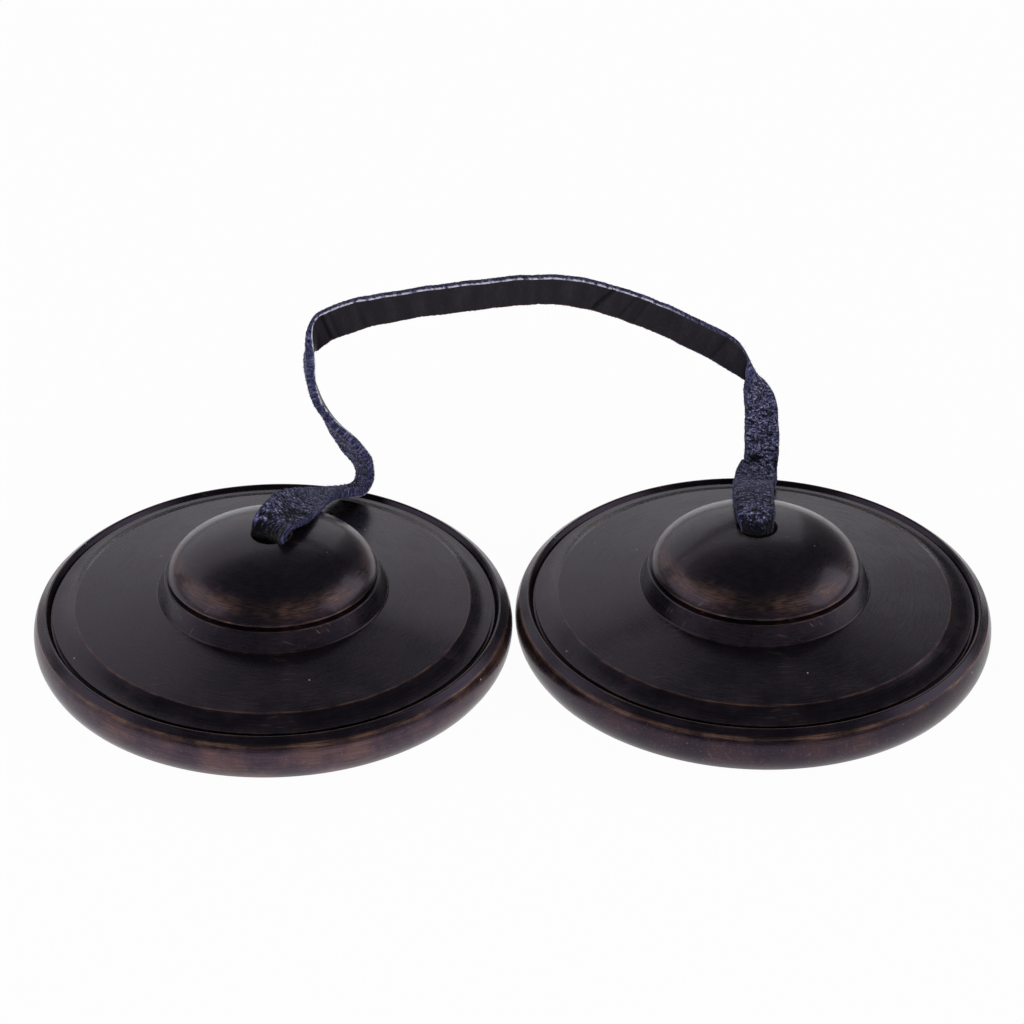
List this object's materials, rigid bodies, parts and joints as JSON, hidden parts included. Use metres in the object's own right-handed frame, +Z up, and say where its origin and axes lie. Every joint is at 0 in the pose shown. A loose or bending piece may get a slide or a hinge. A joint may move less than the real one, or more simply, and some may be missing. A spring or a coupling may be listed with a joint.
{
  "type": "tingsha cymbals",
  "caption": "Pair of small thick bronze hand cymbals with domed bells, joined by a flat leather strap knotted inside each bell; struck edge to edge for a clear ring.",
  "frame": {"origin": "on the table midway between the two cymbals, at the middle of the box around the pair without its strap", "axes": "+X from the left cymbal's axis to the right one's, +Z up along the cymbals' axes, -Y towards the viewer of the picture"},
  "size_m": [0.1316, 0.0656, 0.0435],
  "materials": {
    "bronze": "dark patina worn to copper brown on the edges, satin, fine turning marks",
    "leather": "dark blue suede on one side, dark smooth grain on the other"
  },
  "bodies": {
    "strap_left": {"strap_left": "leather"},
    "strap_right": {"strap_right": "leather"},
    "left_knot": {"left_knot": "leather"},
    "left_cymbal": {"left_cymbal": "bronze"},
    "right_knot": {"right_knot": "leather"},
    "right_cymbal": {"right_cymbal": "bronze"}
  },
  "joints": [
    {"name": "left_flex", "type": "hinge", "parent": "strap_left", "child": "left_knot", "pos_m": [-0.033, 0, 0.01912], "axis": [-0.88, 0.475, 0], "range_deg": [0, 85]},
    {"name": "left_swivel", "type": "hinge", "parent": "left_knot", "child": "left_cymbal", "pos_m": [-0.033, 0, 0.01912], "axis": [0, 0, 1], "continuous": true},
    {"name": "strap_bend", "type": "hinge", "parent": "strap_left", "child": "strap_right", "pos_m": [0.00367, 0.02468, 0.04134], "axis": [0, 0, 1], "range_deg": [0, 80]},
    {"name": "right_flex", "type": "hinge", "parent": "strap_right", "child": "right_knot", "pos_m": [0.033, 0, 0.01912], "axis": [-1, 0, 0], "range_deg": [0, 85]},
    {"name": "right_swivel", "type": "hinge", "parent": "right_knot", "child": "right_cymbal", "pos_m": [0.033, 0, 0.01912], "axis": [0, 0, 1], "continuous": true}
  ]
}
